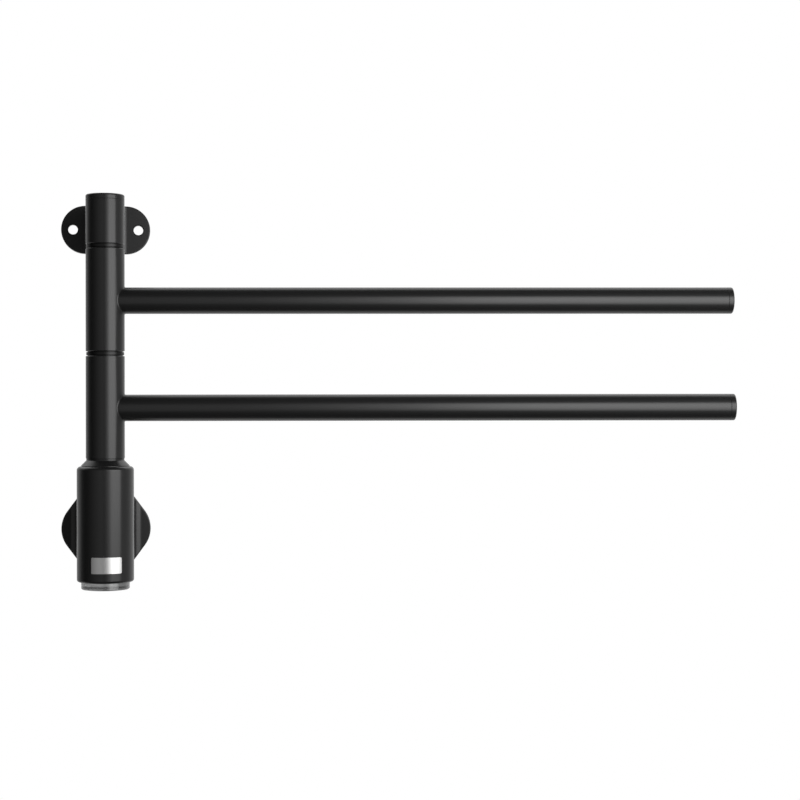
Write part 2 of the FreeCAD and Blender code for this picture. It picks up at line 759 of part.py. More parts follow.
def make_indicator_lamps():
    """Small lamps round the switch, which shine down through the button."""
    half = lamp_side / 2
    lamp = block((lamp_circle - half, lamp_circle + half), (post_y - half, post_y + half),
                 (z_switch_board - lamp_height, z_switch_board))
    lamps = []
    for index in range(lamp_count):
        turned_lamp = lamp.copy()
        turned_lamp.rotate(point(0, post_y, 0), up, 360 * (index + 1 / 2) / lamp_count)
        lamps.append(turned_lamp)
    return Part.makeCompound(lamps)


def biarc(start, start_way, end, end_way):
    """Two arcs that leave start along start_way and reach end along end_way."""
    chord = end - start
    ways = start_way + end_way
    turn = 2 * (1 - start_way.dot(end_way))
    reach = (math.sqrt(chord.dot(ways) ** 2 + turn * chord.dot(chord)) - chord.dot(ways)) / turn
    first_corner = start + start_way * reach
    second_corner = end - end_way * reach
    joint = (first_corner + second_corner) * (1 / 2)
    arcs = []
    for near, corner, far in ((start, first_corner, joint), (joint, second_corner, end)):
        half_turn = (corner - near).getAngle(far - corner) / 2
        middle = (near + far) * (1 / 2)
        rise = math.cos(half_turn) / (1 + math.cos(half_turn))
        arcs.append(Part.Arc(near, middle + (corner - middle) * rise, far).toShape())
    return arcs


def least_gap(path, thickness, turns):
    """Least gap between a coil's turns, measured between points more than half a turn apart."""
    places = path.discretize(coil_points_per_turn * turns)
    apart = coil_points_per_turn * 3 // 4
    gaps = [near.distanceToPoint(far) for index, near in enumerate(places) for far in places[index + apart:]]
    return min(gaps) - thickness


def make_button_spring():
    """Coil spring between the button's lip and the switch board."""
    half = spring_wire / 2
    low = z_button_top + half + seat_clearance
    high = z_switch_board - half - seat_clearance
    rise = (high - low) / spring_turns
    slope = rise / (2 * math.pi * spring_radius)
    places = []
    for half_turn in range(2 * spring_turns + 1):
        angle = math.pi * half_turn
        place = point(spring_radius * math.cos(angle), post_y + spring_radius * math.sin(angle),
                      low + rise * half_turn / 2)
        way = point(-math.sin(angle), math.cos(angle), slope)
        places.append((place, way.normalize()))
    edges = []
    for (start, start_way), (end, end_way) in zip(places, places[1:]):
        edges += biarc(start, start_way, end, end_way)
    section = Part.Wire(Part.makeCircle(half, places[0][0], places[0][1]))
    path = Part.Wire(edges)
    print("spring: least gap between turns", round(least_gap(path, spring_wire, spring_turns), 3))
    return path.makePipeShell([section], True, False)


parts = {
    "upper_bracket": make_upper_bracket(),
    "top_cap": make_top_cap(),
    "spindle_tube": make_spindle_tube(),
    "spindle_lock_nut": make_lock_nut(),
    "spindle_nut": make_spindle_nut(),
    "tension_washer": make_tension_washer(),
    "upper_bearing_ring": make_bearing_ring(z_upper_ring),
    "middle_bearing_ring": make_bearing_ring(z_middle_ring),
    "lower_bearing_collar": make_collar(),
    "lower_housing": make_lower_housing(),
    "wall_plate": make_wall_plate(),
    "clamp_screw": make_clamp_screw(),
    "cable_grommet": make_grommet(),
    "cable_clamp": make_cable_clamp(),
    "terminal_block": make_terminal_block(),
    "supply_wires": make_supply_wires(),
    "riser_wires": make_riser_wires(),
    "push_button": make_push_button(),
    "button_retainer": make_button_retainer(),
    "button_spring": make_button_spring(),
    "button_switch": make_switch(),
    "switch_board": make_switch_board(),
    "indicator_lamps": make_indicator_lamps(),
    "control_chassis": make_chassis(),
    "control_board": make_control_board(),
    "power_relay": make_relay(),
    "board_capacitor": make_capacitor(),
    "board_connector": make_connector(),
}

arms = (("upper", z_upper_hub, upper_rest_angle), ("lower", z_lower_hub, lower_rest_angle))
for name, z_hub, rest_angle in arms:
    z_top_bush = z_hub + hub_length - bush_length
    parts[name + "_arm"] = make_arm(z_hub, rest_angle)
    parts[name + "_end_cap"] = make_end_cap(z_hub, rest_angle)
    parts[name + "_hub_top_bush"] = make_bush(z_top_bush, rest_angle, False)
    parts[name + "_hub_stop_bush"] = make_bush(z_hub, rest_angle, True)
    parts[name + "_stop_collar"] = make_stop_collar(z_hub)
    parts[name + "_heating_cable"] = make_heating_cable(z_hub, rest_angle)

os.makedirs("parts", exist_ok=True)
for name, shape in parts.items():
    if not shape.isValid() or shape.Volume <= 0:
        raise ValueError(name + " is not a valid solid")
    shape.exportStep("parts/" + name + ".step")
    print(name, len(shape.Solids), round(shape.Volume, 1))
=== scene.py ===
"""Finishes a wall-mounted towel holder: one post, two warmed arms that swing, and a clear push button."""

import math

import bmesh
import bpy
from bpy.props import FloatProperty, FloatVectorProperty, IntProperty, PointerProperty
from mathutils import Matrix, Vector


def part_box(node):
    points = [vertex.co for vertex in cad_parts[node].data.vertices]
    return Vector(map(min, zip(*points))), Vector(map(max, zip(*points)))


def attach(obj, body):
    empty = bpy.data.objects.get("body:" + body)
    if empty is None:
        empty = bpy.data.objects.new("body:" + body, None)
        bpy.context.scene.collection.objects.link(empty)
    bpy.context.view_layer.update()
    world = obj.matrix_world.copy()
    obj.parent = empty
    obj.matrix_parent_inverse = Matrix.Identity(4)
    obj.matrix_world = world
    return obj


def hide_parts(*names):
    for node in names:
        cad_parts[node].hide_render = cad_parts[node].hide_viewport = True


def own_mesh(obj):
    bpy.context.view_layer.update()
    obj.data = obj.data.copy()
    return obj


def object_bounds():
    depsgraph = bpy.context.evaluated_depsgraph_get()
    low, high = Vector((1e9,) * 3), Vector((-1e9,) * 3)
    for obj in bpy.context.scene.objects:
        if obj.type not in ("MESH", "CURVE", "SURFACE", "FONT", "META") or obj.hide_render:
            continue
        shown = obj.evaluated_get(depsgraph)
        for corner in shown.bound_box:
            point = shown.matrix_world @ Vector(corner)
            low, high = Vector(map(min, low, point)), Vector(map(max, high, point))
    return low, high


bl_info = {
    "name": "Towel Holder Finish",
    "version": (1, 0, 0),
    "blender": (4, 5, 0),
    "location": "3D View > Sidebar > Towel Holder",
    "description": "Coats, plates and lights a wall-mounted towel holder with two swing arms",
    "category": "Object",
}

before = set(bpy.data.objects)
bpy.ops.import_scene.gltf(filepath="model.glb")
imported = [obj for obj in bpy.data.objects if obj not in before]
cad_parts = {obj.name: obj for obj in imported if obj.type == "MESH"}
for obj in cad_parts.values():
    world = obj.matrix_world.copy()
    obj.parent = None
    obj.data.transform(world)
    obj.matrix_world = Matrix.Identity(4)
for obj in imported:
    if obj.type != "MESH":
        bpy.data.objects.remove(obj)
CAD_BOX = [list(corner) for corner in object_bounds()]
MM = 0.001


def box_of(node):
    """Lowest corner, highest corner and middle of a node."""
    low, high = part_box(node)
    return low, high, (low + high) / 2


BARREL_LOW = box_of("lower_housing")[0]
POST_MIDDLE = box_of("top_cap")[2]
BARREL_RADIUS = POST_MIDDLE.y - BARREL_LOW.y

FACING_FRONT = (math.radians(90), 0.0, 0.0)
FACING_WALL = (math.radians(-90), 0.0, 0.0)
ON_DIAGONALS = (0.0, 0.0, math.radians(45))
CRISP_EDGE = math.radians(35)
CRISP_PLATE_EDGE = math.radians(10)
MERGE_DISTANCE = 0.001 * MM

# Sizes of small details as shares of the fitting's own radius, height, length or width.
SLOT_LENGTH, SLOT_WIDTH, SLOT_LIFT = 2.4, 0.3, 0.6
PIN_SIDE, PIN_LIFT = 0.7, 0.45
SOLDER_TOP, SOLDER_HEIGHT = 0.5, 0.55
LENS_BLOCK = 3.0
SLEEVE_STRIPE = 0.3

# Grey of the panels round the part, by degrees round to the right from straight in front.
BACKDROP_AZIMUTHS = (
    (-180, 0.60), (-136, 0.39), (-123, 0.33), (-112, 0.11), (-101, 0.03), (-90, 0.0), (-75, 0.04),
    (-64, 0.09), (-40, 0.21), (-20, 0.27), (-10, 0.22), (-4, 0.03), (12, 0.0), (62, 0.0), (72, 0.20),
    (92, 0.24), (105, 0.30), (115, 0.43), (127, 0.53), (150, 0.62), (180, 0.62))
# Where one part of the backdrop gives way to the next, by the Y or Z of a direction, and their greys.
FRONT_TO_BACK = (0.1, 0.4)
RING_TO_POLES = (0.35, 0.6)
BACK_LOW_TO_HIGH = (-0.8, 0.8)
BACK_GREYS = (0.55, 1.0)
FRONT_POLES_GREY = 0.04
# Brightness of the soft light, by the share of its width from the left and of its height from below.
SOFTBOX_ACROSS = (
    (0.0, 0.045), (0.0551, 0.13), (0.1181, 0.29), (0.1654, 0.54), (0.2008, 0.84), (0.2362, 0.96),
    (0.3701, 0.92), (0.5669, 0.94), (0.7638, 0.98), (1.0, 0.3))
SOFTBOX_UPRIGHT = (
    (0.0, 0.0), (0.2125, 0.60), (0.325, 0.84), (0.45, 0.96), (0.6, 1.04), (0.775, 0.94), (1.0, 0.0))
FLOOR_HALF_WIDTH = 1.6
FLOOR_MIDDLE = 0.2
FLOOR_GLOW = 0.75
SENSOR_WIDTH = 36.0


class HolderCoat(bpy.types.PropertyGroup):
    """The black coat on the castings and the arms."""

    colour: FloatVectorProperty(
        name="Colour", description="Colour of the satin coat", subtype="COLOR", size=3,
        default=(0.0010, 0.0010, 0.0011), min=0.0, max=1.0)
    roughness: FloatProperty(
        name="Roughness", description="How satin the coat is", subtype="FACTOR",
        default=0.20, min=0.0, max=1.0)
    haze: FloatProperty(
        name="Haze", description="Roughness of the dull film over the satin coat", subtype="FACTOR",
        default=0.62, min=0.0, max=1.0)
    grain_size: FloatProperty(
        name="Grain Size", description="Distance between the coat's fine bumps", unit="LENGTH",
        default=0.45 * MM, min=0.05 * MM, max=5 * MM)
    grain_depth: FloatProperty(
        name="Grain Depth", description="Height of the coat's fine bumps", unit="LENGTH",
        default=0.004 * MM, min=0.0, max=0.1 * MM)


class HolderBadge(bpy.types.PropertyGroup):
    """The bare metal plate on the barrel's front."""

    width: FloatProperty(
        name="Width", description="Length of the plate round the barrel", unit="LENGTH",
        default=23.0 * MM, min=5 * MM, max=60 * MM)
    height: FloatProperty(
        name="Height", description="Upright height of the plate", unit="LENGTH",
        default=12.1 * MM, min=3 * MM, max=40 * MM)
    thickness: FloatProperty(
        name="Thickness", description="How far the plate stands off the barrel", unit="LENGTH",
        default=0.5 * MM, min=0.1 * MM, max=2 * MM)
    corner: FloatProperty(
        name="Corner", description="Radius of the plate's corners", unit="LENGTH",
        default=1.0 * MM, min=0.1 * MM, max=5 * MM)
    edge: FloatProperty(
        name="Edge", description="Bevel round the plate's front", unit="LENGTH",
        default=0.12 * MM, min=0.01 * MM, max=0.5 * MM)
    strips: IntProperty(
        name="Strips", description="Flat strips that follow the barrel's round", default=48, min=4, max=200)
    rise: FloatProperty(
        name="Rise", description="From the barrel's foot to the plate's lower edge", unit="LENGTH",
        default=7.4 * MM, min=0.0, max=60 * MM)
    turn: FloatProperty(
        name="Turn", description="How far round to the right the plate's middle lies", subtype="ANGLE",
        default=math.radians(2.8), min=-math.pi, max=math.pi)


class HolderFittings(bpy.types.PropertyGroup):
    """Screws, pins and lenses inside the barrel and behind the flange."""

    terminal_ways: IntProperty(
        name="Terminal Ways", description="Screws in the terminal block", default=3, min=1, max=8)
    terminal_screw_radius: FloatProperty(
        name="Terminal Screw Radius", description="Radius of a terminal screw's head", unit="LENGTH",
        default=1.45 * MM, min=0.5 * MM, max=3 * MM)
    terminal_screw_height: FloatProperty(
        name="Terminal Screw Height", description="Height of a terminal screw's head", unit="LENGTH",
        default=1.8 * MM, min=0.5 * MM, max=5 * MM)
    terminal_well_depth: FloatProperty(
        name="Terminal Well Depth", description="Depth of the wells that the screws lie in", unit="LENGTH",
        default=4.0 * MM, min=0.5 * MM, max=8 * MM)
    clamp_screw_radius: FloatProperty(
        name="Clamp Screw Radius", description="Radius of the cable clamp's screw heads", unit="LENGTH",
        default=1.9 * MM, min=0.5 * MM, max=4 * MM)
    clamp_screw_height: FloatProperty(
        name="Clamp Screw Height", description="Height of the cable clamp's screw heads", unit="LENGTH",
        default=1.5 * MM, min=0.5 * MM, max=5 * MM)
    clamp_screw_inset: FloatProperty(
        name="Clamp Screw Inset", description="From the clamp's end to its screw's middle", unit="LENGTH",
        default=2.6 * MM, min=1 * MM, max=8 * MM)
    pin_pitch: FloatProperty(
        name="Pin Pitch", description="Distance between soldered pins", unit="LENGTH",
        default=2.5 * MM, min=1 * MM, max=6 * MM)
    pin_length: FloatProperty(
        name="Pin Length", description="How far a soldered pin stands out of its board", unit="LENGTH",
        default=1.4 * MM, min=0.3 * MM, max=4 * MM)
    solder_radius: FloatProperty(
        name="Solder Radius", description="Radius of a solder cone on the board", unit="LENGTH",
        default=0.8 * MM, min=0.2 * MM, max=2 * MM)
    lamp_side: FloatProperty(
        name="Lamp Side", description="Width of one lamp's square foot", unit="LENGTH",
        default=3.0 * MM, min=1 * MM, max=6 * MM)
    lens_radius: FloatProperty(
        name="Lens Radius", description="Radius of the dome under each lamp", unit="LENGTH",
        default=1.1 * MM, min=0.3 * MM, max=3 * MM)
    button_travel: FloatProperty(
        name="Button Travel", description="How far the spring shortens when the button is pressed",
        unit="LENGTH", default=1.5 * MM, min=0.0, max=4 * MM)


class HolderStudio(bpy.types.PropertyGroup):
    """Camera, soft light, backdrop and floor."""

    camera_place: FloatVectorProperty(
        name="Camera Place", description="Where the camera stands", subtype="TRANSLATION", size=3,
        default=(0.015, -1.416, 0.0990))
    camera_turn: FloatProperty(
        name="Camera Turn", description="How far the camera looks to the right of the wall's normal",
        subtype="ANGLE", default=math.radians(8.667))
    camera_roll: FloatProperty(
        name="Camera Roll", description="How far the camera leans to one side", subtype="ANGLE",
        default=math.radians(0.08))
    lens: FloatProperty(
        name="Lens", description="Focal length of the camera", unit="CAMERA", default=81.0, min=10.0,
        max=300.0)
    floor_drop: FloatProperty(
        name="Floor Drop", description="How far the floor lies below the part", unit="LENGTH",
        default=1.40, min=0.0, max=3.0)
    softbox_left: FloatProperty(
        name="Softbox Left", description="Left edge of the soft light in front of the arms", unit="LENGTH",
        default=-0.02, min=-3.0, max=3.0)
    softbox_right: FloatProperty(
        name="Softbox Right", description="Right edge of the soft light", unit="LENGTH",
        default=1.25, min=-3.0, max=5.0)
    softbox_distance: FloatProperty(
        name="Softbox Distance", description="How far in front of the wall the soft light hangs",
        unit="LENGTH", default=0.62, min=0.2, max=4.0)
    softbox_height: FloatProperty(
        name="Softbox Height", description="Height of the soft light", unit="LENGTH", default=0.80,
        min=0.1, max=4.0)
    softbox_level: FloatProperty(
        name="Softbox Level", description="Level of the soft light's middle", unit="LENGTH", default=0.16,
        min=-2.0, max=2.0)
    softbox_radiance: FloatProperty(
        name="Softbox Radiance", description="Brightness of the soft light against the white backdrop",
        default=3.05, min=0.0, max=50.0)


def settings(group):
    """The scene's values for one group of the holder's sizes."""
    return getattr(bpy.context.scene, "holder_" + group)


def place(tree, kind, inputs=None, **fields):
    """Adds a node, sets its fields, and fills its inputs with plain values or with other sockets."""
    node = tree.nodes.new(kind)
    for field, value in fields.items():
        setattr(node, field, value)
    for key, value in (inputs or {}).items():
        if isinstance(value, bpy.types.NodeSocket):
            tree.links.new(value, node.inputs[key])
        else:
            node.inputs[key].default_value = value
    return node


def maths(tree, operation, first, second=0.0):
    """One Math node, and its result."""
    return place(tree, "ShaderNodeMath", {0: first, 1: second}, operation=operation).outputs[0]


def ranged(tree, value, limits, results=(0.0, 1.0), **fields):
    """A value brought from one range into another."""
    return place(tree, "ShaderNodeMapRange",
                 {"Value": value, "From Min": limits[0], "From Max": limits[1], "To Min": results[0],
                  "To Max": results[1]}, **fields).outputs["Result"]


def mixed(tree, factor, first, second):
    """One colour that gives way to another as the factor rises."""
    return place(tree, "ShaderNodeMix", {"Factor": factor, "A": first, "B": second},
                 data_type="RGBA").outputs["Result"]


def grey(level):
    """An opaque grey."""
    return (level, level, level, 1.0)


def grey_ramp(tree, share, steps):
    """Grey that runs through the given (share, level) steps."""
    ramp = place(tree, "ShaderNodeValToRGB", {0: share})
    stops = ramp.color_ramp.elements
    stops.remove(stops[1])
    for index, (position, level) in enumerate(steps):
        stop = stops[0] if index == 0 else stops.new(position)
        stop.position = position
        stop.color = grey(level)
    return ramp.outputs["Color"]


def group_tree(name, kind, inputs, outputs):
    """A node group with named sockets. Sockets are given as (name, type, default)."""
    tree = bpy.data.node_groups.new(name, kind)
    for in_out, sockets in (("INPUT", inputs), ("OUTPUT", outputs)):
        for label, socket_type, default in sockets:
            socket = tree.interface.new_socket(label, in_out=in_out, socket_type=socket_type)
            if default is not None:
                socket.default_value = default
    entry = tree.nodes.new("NodeGroupInput")
    leave = tree.nodes.new("NodeGroupOutput")
    return tree, entry, leave


def shared_group(name, builder):
    """Builds a node group the first time it is asked for."""
    return bpy.data.node_groups.get(name) or builder(name)


def grain_group(name):
    """Fine bumps of a sprayed coat or a textured moulding, with a roughness that drifts a little."""
    tree, entry, leave = group_tree(
        name, "ShaderNodeTree",
        [("Size", "NodeSocketFloat", 0.0005), ("Depth", "NodeSocketFloat", 0.00001),
         ("Roughness", "NodeSocketFloat", 0.4), ("Spread", "NodeSocketFloat", 0.05)],
        [("Roughness", "NodeSocketFloat", None), ("Normal", "NodeSocketVector", None)])
    coordinates = place(tree, "ShaderNodeTexCoord").outputs["Object"]
    scale = maths(tree, "DIVIDE", 1.0, entry.outputs["Size"])
    fine = place(tree, "ShaderNodeTexNoise", {"Vector": coordinates, "Scale": scale, "Detail": 3.0})
    drift = place(tree, "ShaderNodeTexNoise", {"Vector": coordinates, "Scale": 60.0, "Detail": 4.0})
    centred = maths(tree, "SUBTRACT", drift.outputs["Fac"], 0.5)
    offset = maths(tree, "MULTIPLY", centred, entry.outputs["Spread"])
    roughness = maths(tree, "ADD", entry.outputs["Roughness"], offset)
    bump = place(tree, "ShaderNodeBump", {"Height": fine.outputs["Fac"], "Distance": entry.outputs["Depth"]})
    tree.links.new(roughness, leave.inputs["Roughness"])
    tree.links.new(bump.outputs["Normal"], leave.inputs["Normal"])
    return tree


def brushed_group(name):
    """Fine parallel lines of a belt or a lathe tool; Stretch is how dense they are along X, Y and Z."""
    tree, entry, leave = group_tree(
        name, "ShaderNodeTree",
        [("Stretch", "NodeSocketVector", (40.0, 40.0, 6000.0)), ("Depth", "NodeSocketFloat", 0.00001),
         ("Roughness", "NodeSocketFloat", 0.3), ("Spread", "NodeSocketFloat", 0.1)],
        [("Roughness", "NodeSocketFloat", None), ("Normal", "NodeSocketVector", None)])
    coordinates = place(tree, "ShaderNodeTexCoord").outputs["Object"]
    drawn = place(tree, "ShaderNodeVectorMath", {0: coordinates, 1: entry.outputs["Stretch"]},
                  operation="MULTIPLY")
    lines = place(tree, "ShaderNodeTexNoise", {"Vector": drawn.outputs[0], "Scale": 1.0, "Detail": 5.0,
                                               "Roughness": 0.65})
    centred = maths(tree, "SUBTRACT", lines.outputs["Fac"], 0.5)
    offset = maths(tree, "MULTIPLY", centred, entry.outputs["Spread"])
    roughness = maths(tree, "ADD", entry.outputs["Roughness"], offset)
    bump = place(tree, "ShaderNodeBump", {"Height": lines.outputs["Fac"],
                                          "Distance": entry.outputs["Depth"]})
    tree.links.new(roughness, leave.inputs["Roughness"])
    tree.links.new(bump.outputs["Normal"], leave.inputs["Normal"])
    return tree


def mottle_group(name):
    """Two near colours that drift into one another over a surface."""
    tree, entry, leave = group_tree(
        name, "ShaderNodeTree",
        [("First", "NodeSocketColor", (0.5, 0.5, 0.5, 1.0)),
         ("Second", "NodeSocketColor", (0.6, 0.6, 0.6, 1.0)), ("Size", "NodeSocketFloat", 0.01)],
        [("Color", "NodeSocketColor", None)])
    coordinates = place(tree, "ShaderNodeTexCoord").outputs["Object"]
    scale = maths(tree, "DIVIDE", 1.0, entry.outputs["Size"])
    cloud = place(tree, "ShaderNodeTexNoise", {"Vector": coordinates, "Scale": scale, "Detail": 4.0})
    colour = mixed(tree, cloud.outputs["Fac"], entry.outputs["First"], entry.outputs["Second"])
    tree.links.new(colour, leave.inputs["Color"])
    return tree


def use_group(tree, name, builder, **inputs):
    """Places a shared shader group with its own values."""
    node = place(tree, "ShaderNodeGroup", node_tree=shared_group(name, builder))
    for key, value in inputs.items():
        node.inputs[key].default_value = value
    return node


def grain(tree, size, depth, roughness, spread=0.05):
    """Fine bumps: their distance and height, and the roughness with how far it drifts."""
    return use_group(tree, "sprayed_grain", grain_group, Size=size, Depth=depth, Roughness=roughness,
                     Spread=spread)


def brushed(tree, stretch, depth, roughness, spread=0.1):
    """Brushed lines: their density and depth, and the roughness with how far it drifts."""
    return use_group(tree, "brushed_lines", brushed_group, Stretch=stretch, Depth=depth,
                     Roughness=roughness, Spread=spread)


def mottle(tree, first, second, size):
    """Two colours that drift into one another over patches of a size."""
    return use_group(tree, "colour_drift", mottle_group, First=(*first, 1.0), Second=(*second, 1.0),
                     Size=size)


def shade(colour, factor):
    """A colour made lighter or darker by a factor."""
    return tuple(channel * factor for channel in colour)


def bare_tree(owner):
    """The emptied node tree of a material or a world."""
    owner.use_nodes = True
    owner.node_tree.nodes.clear()
    return owner.node_tree


def new_finish(name):
    """An empty material with its Principled shader joined to the output."""
    material = bpy.data.materials.new(name)
    tree = bare_tree(material)
    shader = place(tree, "ShaderNodeBsdfPrincipled")
    output = place(tree, "ShaderNodeOutputMaterial")
    tree.links.new(shader.outputs["BSDF"], output.inputs["Surface"])
    return material, tree, shader


def set_constants(shader, **values):
    """Sets constants on a shader's own sockets, with _ for the spaces in their names."""
    for name, value in values.items():
        shader.inputs[name.replace("_", " ")].default_value = value


def join(tree, shader, surface, colour=None):
    """Feeds a shader's roughness and normal from a surface group, and its colour from a colour group."""
    tree.links.new(surface.outputs["Roughness"], shader.inputs["Roughness"])
    tree.links.new(surface.outputs["Normal"], shader.inputs["Normal"])
    if colour:
        tree.links.new(colour.outputs["Color"], shader.inputs["Base Color"])


def satin_coat():
    """Sprayed satin black with a faint orange peel."""
    coat = settings("coat")
    material, tree, shader = new_finish("satin_black_coat")
    colour = mottle(tree, tuple(coat.colour), shade(coat.colour, factor=1.3), size=0.02)
    surface = grain(tree, coat.grain_size, coat.grain_depth, coat.roughness, spread=0.04)
    join(tree, shader, surface, colour)
    set_constants(shader, Coat_Weight=1.0, Coat_Roughness=coat.haze)
    return material


def turned_ring_plastic():
    """Dull black bearing plastic with lathe lines."""
    material, tree, shader = new_finish("turned_ring_plastic")
    colour = mottle(tree, (0.002, 0.002, 0.002), (0.004, 0.004, 0.004), size=0.006)
    surface = brushed(tree, (60.0, 60.0, 5000.0), depth=0.006 * MM, roughness=0.33)
    join(tree, shader, surface, colour)
    return material


def clear_acrylic():
    """Polished clear acrylic with slight haze from handling."""
    material, tree, shader = new_finish("polished_clear_acrylic")
    set_constants(shader, Transmission_Weight=1.0, IOR=1.49, Coat_Weight=1.0, Coat_Roughness=0.06,
                  Coat_IOR=2.1)
    colour = mottle(tree, (0.32, 0.33, 0.33), (0.46, 0.46, 0.46), size=0.003)
    surface = grain(tree, size=1.2 * MM, depth=0.002 * MM, roughness=0.20, spread=0.10)
    join(tree, shader, surface, colour)
    return material


def brushed_steel_plate():
    """Bare stainless plate, brushed along its length."""
    material, tree, shader = new_finish("brushed_steel_plate")
    set_constants(shader, Metallic=1.0)
    colour = mottle(tree, (0.93, 0.93, 0.92), (0.98, 0.98, 0.97), size=0.004)
    surface = brushed(tree, (90.0, 90.0, 9000.0), depth=0.004 * MM, roughness=0.34, spread=0.2)
    join(tree, shader, surface, colour)
    return material


def turned_steel():
    """Bright steel of the spindle, nuts, stops and spring, with turning lines."""
    material, tree, shader = new_finish("turned_steel")
    set_constants(shader, Metallic=1.0)
    colour = mottle(tree, (0.42, 0.42, 0.43), (0.55, 0.55, 0.56), size=0.006)
    surface = brushed(tree, (120.0, 120.0, 4000.0), depth=0.005 * MM, roughness=0.34, spread=0.16)
    join(tree, shader, surface, colour)
    return material


def rolled_steel_plate():
    """Zinc-plated sheet of the wall plate, rolled along the wall."""
    material, tree, shader = new_finish("rolled_zinc_plate")
    set_constants(shader, Metallic=1.0)
    colour = mottle(tree, (0.46, 0.47, 0.48), (0.60, 0.61, 0.62), size=0.007)
    surface = brushed(tree, (60.0, 900.0, 2500.0), depth=0.004 * MM, roughness=0.42, spread=0.2)
    join(tree, shader, surface, colour)
    return material


def moulded_plastic(name, colour, roughness, size=0.3 * MM, depth=0.006 * MM):
    """A moulded plastic with a fine spark-eroded texture."""
    material, tree, shader = new_finish(name)
    join(tree, shader, grain(tree, size, depth, roughness),
         mottle(tree, colour, shade(colour, factor=1.15), size=0.004))
    return material


def circuit_laminate():
    """Green board with a faint weave and copper runs under the lacquer."""
    material, tree, shader = new_finish("circuit_laminate")
    coordinates = place(tree, "ShaderNodeTexCoord").outputs["Object"]
    runs = place(tree, "ShaderNodeTexBrick",
                 {"Vector": coordinates, "Scale": 260.0, "Mortar Size": 0.06, "Brick Width": 1.7,
                  "Row Height": 0.42, "Color1": (0.010, 0.055, 0.022, 1.0),
                  "Color2": (0.012, 0.065, 0.027, 1.0), "Mortar": (0.030, 0.120, 0.050, 1.0)})
    tree.links.new(runs.outputs["Color"], shader.inputs["Base Color"])
    join(tree, shader, grain(tree, size=0.5 * MM, depth=0.004 * MM, roughness=0.32))
    return material


def striped_sleeve():
    """Shrunk-on sleeve of the capacitor, dark with a pale stripe down one side."""
    material, tree, shader = new_finish("capacitor_sleeve_film")
    low, high, middle = box_of("board_capacitor")
    coordinates = place(tree, "ShaderNodeTexCoord").outputs["Object"]
    across = place(tree, "ShaderNodeSeparateXYZ", {0: coordinates}).outputs["X"]
    stripe = maths(tree, "GREATER_THAN", across, middle.x + (high.x - low.x) * SLEEVE_STRIPE)
    colour = mixed(tree, stripe, (0.010, 0.013, 0.030, 1.0), (0.42, 0.43, 0.45, 1.0))
    tree.links.new(colour, shader.inputs["Base Color"])
    join(tree, shader, grain(tree, size=0.4 * MM, depth=0.003 * MM, roughness=0.3))
    return material


def lamp_resin():
    """Milky resin of the indicator lamps."""
    material, tree, shader = new_finish("milky_lamp_resin")
    set_constants(shader, Transmission_Weight=0.4)
    join(tree, shader, grain(tree, size=0.6 * MM, depth=0.002 * MM, roughness=0.2),
         mottle(tree, (0.78, 0.79, 0.76), (0.88, 0.88, 0.86), size=0.002))
    return material


def finish_of(node):
    """The finish that a node wears."""
    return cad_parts[node].material_slots[0].material


def dress(slot, material, *only):
    """Gives a finish to the nodes of one material slot, or to the named nodes alone."""
    found = 0
    for name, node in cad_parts.items():
        wanted = name in only if only else node.data.materials[0].name.split(".")[0] == slot
        if wanted:
            node.material_slots[0].material = material
            found += 1
    if not found:
        raise RuntimeError("no node takes its finish from " + slot)


def soften(mesh, limit):
    """Shades a mesh smooth and keeps the edges sharper than a limit crisp."""
    form = bmesh.new()
    form.from_mesh(mesh)
    for face in form.faces:
        face.smooth = True
    for edge in form.edges:
        edge.smooth = len(edge.link_faces) == 2 and edge.calc_face_angle() < limit
    form.to_mesh(mesh)
    form.free()


def add_piece(name, mesh, body, crisp=CRISP_EDGE):
    """A new piece that rides on a body and wears the finish already on its mesh."""
    soften(mesh, crisp)
    piece = bpy.data.objects.new(name, mesh)
    bpy.context.scene.collection.objects.link(piece)
    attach(piece, body)
    return piece


def merged_copy(node, name):
    """A CAD node's shape under a new name, with its loose triangles merged."""
    form = bmesh.new()
    form.from_mesh(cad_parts[node].data)
    bmesh.ops.remove_doubles(form, verts=form.verts[:], dist=MERGE_DISTANCE)
    mesh = bpy.data.meshes.new(name)
    form.to_mesh(mesh)
    form.free()
    if mesh.has_custom_normals:
        mesh.attributes.remove(mesh.attributes["custom_normal"])
    mesh.materials.append(finish_of(node))
    return mesh


def grow_piece(name, tree, values, body):
    """Runs a geometry tree once and keeps the result as a plain mesh."""
    seed = bpy.data.objects.new(name + "_seed", bpy.data.meshes.new(name + "_seed"))
    bpy.context.scene.collection.objects.link(seed)
    modifier = seed.modifiers.new(name, "NODES")
    modifier.node_group = tree
    for item in tree.interface.items_tree:
        if item.in_out == "INPUT" and item.name in values:
            modifier[item.identifier] = values[item.name]
    graph = bpy.context.evaluated_depsgraph_get()
    mesh = bpy.data.meshes.new_from_object(seed.evaluated_get(graph))
    mesh.name = name
    bpy.data.objects.remove(seed)
    if not mesh.polygons:
        raise RuntimeError(name + " came out empty")
    mesh.materials.clear()
    mesh.materials.append(values["Finish"])
    mesh.polygons.foreach_set("material_index", [0] * len(mesh.polygons))
    add_piece(name, mesh, body)


def geometry_tree(name, sizes):
    """A geometry group with its own sizes and the sockets that every fitting has."""
    return group_tree(
        name, "GeometryNodeTree",
        [*sizes, ("Middle", "NodeSocketVector", None), ("Turn", "NodeSocketRotation", None),
         ("Finish", "NodeSocketMaterial", None)],
        [("Geometry", "NodeSocketGeometry", None)])


